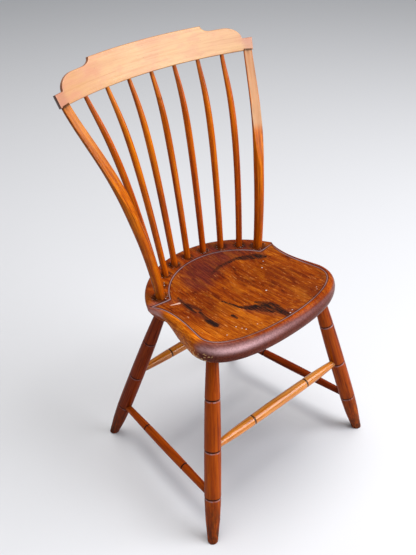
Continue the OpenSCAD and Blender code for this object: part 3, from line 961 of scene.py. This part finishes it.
def seat_plain(m, fig):
    """Varnished wood of the hollow and of the edge round it."""
    amber = m.ramp(fig.fine, AMBER_WOOD)
    # golden wood on the front-left of the hollow, its bright speckles painted glints
    top = m.mix(m.times(m.attribute("golden"), 0.42), m.ramp(fig.streaks, TOP_WOOD), amber)
    edge = m.mix(m.times(m.attribute("amber"), 0.85), m.ramp(fig.streaks, EDGE_WOOD), amber)
    base = m.mix(m.attribute("hollow"), edge, top)
    base = m.mix(m.fit(fig.patches, 0.42, 0.62, 0.0, 0.5), base, m.mix(0.6, base, DARK_CLOUD))
    base = m.mix(m.fit(fig.broad, 0.52, 0.66, 0.0, 0.5), base, m.mix(0.6, base, BRIGHT_CLOUD))
    lines = m.fit(fig.fibres, 0.54, 0.68, 0.0, 0.75)
    base = m.mix(lines, base, m.mix(0.75, base, SEAT_FIBRE))
    ticks = m.fit(m.noise(fig.grain, (480, 480, 70), detail=3), 0.62, 0.70, 0.0, 0.55)
    return m.mix(m.times(ticks, m.attribute("hollow")), base, BRIGHT_TICK)


def seat_nose_and_purple(m, fig, base):
    """Purplish brown nose with a painted pale sky reflection, and purplish fields on the top."""
    nose = m.times(m.attribute("nose"), m.fit(fig.patches, 0.2, 0.5, 0.75, 1.0))
    brown = m.mix(m.fit(fig.torn, 0.4, 0.6), NOSE_DARK, NOSE_LIGHT)
    base = m.mix(m.times(nose, 0.85), base, brown)
    pale_reflection = m.times(m.attribute("pale_reflection"), m.fit(fig.torn, 0.36, 0.56, 0.6, 1.0))
    base = m.mix(m.times(pale_reflection, 0.92), base, SKY_REFLECTION)
    field = m.times(m.attribute("purple"), m.fit(fig.broad, 0.3, 0.7, 1.0, 0.6))
    purple = m.mix(m.fit(fig.fine, 0.4, 0.62), PURPLE_DARK, PURPLE_LIGHT)
    return m.mix(m.times(field, 0.9), base, purple)


def seat_black(m, fig):
    """How black each point is where stains are torn along the grain."""
    mask = m.attribute("black")
    torn = m.plus(mask, m.times(m.math("SUBTRACT", fig.torn, 0.5), 7.0))
    return m.times(m.fit(torn, 0.35, 1.0), m.fit(mask, 0.02, 0.35))


def seat_stained(m, fig, black, base):
    """Brown haloes, black stains over them, and bare scratches."""
    halo = m.times(m.fit(m.attribute("black"), 0.0, 0.5, 0.0, 0.75), m.fit(fig.clouds, 0.35, 0.6, 0.5, 1.0))
    base = m.mix(halo, base, STAIN_HALO)
    base = m.mix(m.times(black, 0.93), base, STAIN_BLACK)
    bare = m.plus(m.attribute("bare"), m.times(m.math("SUBTRACT", fig.torn, 0.5), 0.8))
    return m.mix(m.fit(bare, 0.4, 0.8, 0.0, 0.75), base, BARE_WOOD)


def seat_joints(m, fig, at, base):
    """Dark finish where the rods and posts enter the seat, with flecks of glue."""
    far = 1.0
    for position in range(-4, 5):
        reach = m.distance(at, tuple(stick_foot(position)))
        wide = 15 if is_post(position) else 10
        far = m.math("MINIMUM", far, m.fit(reach, wide * MM, (wide + 8) * MM))
    near = m.math("SUBTRACT", 1.0, far)
    dark = m.times(near, m.fit(fig.torn, 0.30, 0.58, 0.35, 1.0))
    base = m.mix(m.times(dark, 0.85), base, OLD_FINISH)
    flecks = m.times(m.fit(m.noise(at, (290, 290, 290), detail=1), 0.66, 0.72), near)
    return m.mix(m.times(flecks, 0.8), base, GLUE_FLECK)


def seat_details(m, fig, at, base):
    """The scored line painted dark as its shade, its lip with a painted sky reflection, the chipped corner,
    the specks and painted shade on the underside.
    """
    # the scored groove painted dark as its shade
    base = m.mix(m.times(m.attribute("ring"), 0.95), base, SCORE_BLACK)
    # painted sky reflection on the scored line's lip
    lip_sheen = m.times(m.attribute("lip_sheen"), m.fit(fig.patches, 0.38, 0.58, 0.95, 0.45))
    base = m.mix(lip_sheen, base, SCORE_LIP_REFLECTION)
    chips = m.fit(m.noise(at, (150, 150, 150), detail=3, rough=0.7), 0.54, 0.60)
    base = m.mix(m.times(m.times(chips, m.attribute("corner")), 0.8), base, CHIPPED_WOOD)
    for x, y, r in SPECKS:
        reach = m.distance(m.scaled(at, (1, 1, 0)), (x * MM, y * MM, 0))
        base = m.mix(m.fit(reach, 0.5 * r * MM, 1.2 * r * MM, 0.85, 0.0), base, WHITE_SPECK)
    # painted shade on the underside
    return m.mix(m.times(m.attribute("under"), 0.6), base, UNDER_SHADE)


def seat_material():
    m = Nodes("seat_wood")
    fig, at = seat_figure(m), m.position()
    black = seat_black(m, fig)
    base = seat_nose_and_purple(m, fig, seat_plain(m, fig))
    base = seat_stained(m, fig, black, base)
    base = seat_joints(m, fig, at, base)
    base = seat_details(m, fig, at, base)
    rough = m.plus(m.fit(fig.fibres, 0.3, 0.8, 0.22, 0.40), m.times(black, 0.3))
    rough = m.plus(rough, m.times(m.attribute("hollow"), 0.12))
    normal = m.bump(m.plus(m.times(fig.fibres, 0.5), fig.streaks), 0.30 * MM)
    return m.varnish(base, rough, normal, coat=0.05, coat_roughness=0.2, gloss=0.05)


# ---- wood of the crest ----

CREST_WOOD = [(0.34, (0.48, 0.235, 0.075)), (0.48, (0.55, 0.300, 0.115)), (0.66, (0.61, 0.360, 0.150))]
PATCH_RED, MOTTLE_RED = (0.50, 0.19, 0.09), (0.50, 0.16, 0.08)
PORE_BROWN, CREST_FIBRE = (0.20, 0.055, 0.015), (0.34, 0.11, 0.035)
ROSY_WOOD, END_WOOD = (0.56, 0.255, 0.145), (0.42, 0.165, 0.11)
EDGE_SHADE_BROWN, TIP_BROWN, JOINT_BROWN = (0.24, 0.065, 0.012), (0.05, 0.014, 0.006), (0.06, 0.02, 0.012)


def crest_material():
    m = Nodes("crest_wood")
    grain = m.grain()
    streaks = m.noise(grain, (260, 260, 9), detail=6, rough=0.68, distort=0.5)
    fibres = m.noise(grain, (900, 900, 30), detail=3, rough=0.6)
    patches = m.noise(grain, (22, 22, 6), detail=2)
    mottle = m.noise(grain, (60, 60, 24), rough=0.6)
    base = m.ramp(streaks, CREST_WOOD)
    base = m.mix(m.fit(patches, 0.42, 0.66, 0.0, 0.6), base, m.mix(0.6, base, PATCH_RED))
    base = m.mix(m.fit(mottle, 0.48, 0.62, 0.0, 0.6), base, m.mix(0.5, base, MOTTLE_RED))
    pores = m.fit(m.noise(grain, (420, 420, 160), detail=2), 0.68, 0.76, 0.0, 0.6)
    base = m.mix(pores, base, PORE_BROWN)
    base = m.mix(m.fit(fibres, 0.60, 0.74, 0.0, 0.35), base, CREST_FIBRE)
    rosy = m.times(m.attribute("rosy"), m.fit(mottle, 0.3, 0.6, 0.25, 0.75))
    base = m.mix(rosy, base, ROSY_WOOD)
    base = m.mix(m.times(m.attribute("end"), 0.6), base, END_WOOD)
    # painted shade on the thin rim
    edge = m.times(m.attribute("edge"), m.fit(patches, 0.3, 0.6, 0.6, 0.9))
    base = m.mix(edge, base, EDGE_SHADE_BROWN)
    base = m.mix(m.times(m.attribute("tip"), 0.85), base, TIP_BROWN)
    base = m.mix(m.times(m.attribute("joint"), 0.9), base, JOINT_BROWN)
    rough = m.fit(fibres, 0.3, 0.8, 0.36, 0.55)
    normal = m.bump(m.plus(m.times(fibres, 0.5), streaks), 0.2 * MM)
    return m.varnish(base, rough, normal, coat=0.45, coat_roughness=0.2, gloss=0.22)


# ---- build ----

LEG_WOOD = turned_material("leg_wood", (0.13, 0.012, 0.0002), (0.33, 0.046, 0.0003), (0.44, 0.080, 0.0008))
REAR_LEG_WOOD = turned_material(
    "rear_leg_wood", (0.06, 0.005, 0.0002), (0.19, 0.019, 0.0003), (0.28, 0.042, 0.0006), coat=0.05)
FRONT_STRETCHER_WOOD = turned_material(
    "front_stretcher_wood", (0.38, 0.085, 0.004), (0.66, 0.20, 0.018), (0.80, 0.33, 0.06), coat=0.9)
REAR_STRETCHER_WOOD = turned_material(
    "rear_stretcher_wood", (0.26, 0.050, 0.001), (0.54, 0.15, 0.006), (0.70, 0.24, 0.02), coat=0.8)
STICK_WOOD = turned_material(
    "stick_wood", (0.24, 0.034, 0.0005), (0.52, 0.100, 0.001), (0.76, 0.22, 0.004), coat=0.15)
POST_WOOD = turned_material(
    "post_wood", (0.24, 0.042, 0.0005), (0.50, 0.105, 0.001), (0.70, 0.21, 0.006), coat=0.12)
RED_STICK_WOOD = turned_material(
    "red_stick_wood", (0.19, 0.026, 0.0005), (0.46, 0.078, 0.001), (0.66, 0.16, 0.003), coat=0.15)
# radii of the posts and rods at the seat, at 0.4 of their route and at the crest
POST_RADII = (9.6 * MM, 11 * MM, 9 * MM)
ROD_RADII = (6.8 * MM, 6.9 * MM, 4.1 * MM)
RED_RODS = (1, 5, 7)                     # numbers of the rods of redder wood, from the left

for key in FEET:
    if key.startswith("front"):
        leg(key, 17.0 * MM, LEG_WOOD, lip_reflection_strength=1.0)
    else:
        leg(key, 16.2 * MM, REAR_LEG_WOOD, lip_reflection_strength=0.45)
stretcher("stretcher_front", 11.4 * MM, FRONT_STRETCHER_WOOD)
stretcher("stretcher_rear", 11.4 * MM, REAR_STRETCHER_WOOD)
stretcher("stretcher_left", 9.6 * MM, LEG_WOOD)
stretcher("stretcher_right", 9.6 * MM, REAR_LEG_WOOD)
for side, sign in SIDES.items():
    stick("post_" + side, 4 * sign, POST_RADII, POST_WOOD)
    crest_pin("crest_pin_" + side, sign, STICK_WOOD)
for number in range(1, 8):
    wood = RED_STICK_WOOD if number in RED_RODS else STICK_WOOD
    stick("spindle_%d" % number, number - 4, ROD_RADII, wood)
crest("crest", crest_material())
seat("seat", seat_material())

# ---- floor, light and camera ----

CAMERA_AT = (-0.85762, -0.92654, 1.27245)
CAMERA_AZIMUTH, CAMERA_ELEVATION, CAMERA_ROLL = -41.460, 33.503, -1.924    # degrees
CAMERA_LENS = 47.677                     # mm


def floor():
    mesh = bpy.data.meshes.new("floor")
    r = 40.0                             # half its side
    mesh.from_pydata([(-r, -r, 0), (r, -r, 0), (r, r, 0), (-r, r, 0)], [], [(0, 1, 2, 3)])
    plane = bpy.data.objects.new("floor", mesh)
    bpy.context.scene.collection.objects.link(plane)
    m = Nodes("floor_paint")
    m.shader.inputs["Base Color"].default_value = (0.62, 0.62, 0.63, 1)
    m.shader.inputs["Roughness"].default_value = 0.8
    plane.data.materials.append(m.material)


def soft_light(name, at, target, size, watts, colour):
    light = bpy.data.lights.new(name, "AREA")
    light.shape, light.size, light.energy, light.color = "DISK", size, watts, colour
    lamp = bpy.data.objects.new(name, light)
    lamp.location = at
    lamp.rotation_mode = "QUATERNION"
    lamp.rotation_quaternion = (Vector(target) - Vector(at)).to_track_quat("-Z", "Y")
    bpy.context.scene.collection.objects.link(lamp)


def sky():
    world = bpy.data.worlds.new("sky")
    bpy.context.scene.world = world
    world.use_nodes = True
    backdrop = world.node_tree.nodes["Background"]
    backdrop.inputs["Color"].default_value = (0.90, 0.94, 1.0, 1)
    backdrop.inputs["Strength"].default_value = 0.32


def camera(at, azimuth, elevation, roll, lens):
    a, e, r = (math.radians(v) for v in (azimuth, elevation, roll))
    back = Vector((math.sin(a) * math.cos(e), -math.cos(a) * math.cos(e), math.sin(e)))
    level = (-back).cross(Vector((0, 0, 1))).normalized()
    upright = back.cross(level)
    x = level * math.cos(r) + upright * math.sin(r)
    y = -level * math.sin(r) + upright * math.cos(r)
    data = bpy.data.cameras.new("camera")
    data.sensor_width, data.sensor_fit, data.lens = 36, "AUTO", lens
    view = bpy.data.objects.new("camera", data)
    view.matrix_world = Matrix.Translation(at) @ Matrix((x, y, back)).transposed().to_4x4()
    bpy.context.scene.collection.objects.link(view)
    bpy.context.scene.camera = view


floor()
sky()
soft_light("window", (1.35, -2.05, 2.15), (0, 0, 0.45), 2.4, 100, (0.93, 0.95, 1.0))
soft_light("overhead", (0.2, 0.2, 5.0), (0, 0, 0.4), 3.0, 195, (1.0, 0.985, 0.97))
camera(CAMERA_AT, CAMERA_AZIMUTH, CAMERA_ELEVATION, CAMERA_ROLL, CAMERA_LENS)
bpy.context.scene.view_settings.view_transform = "Standard"
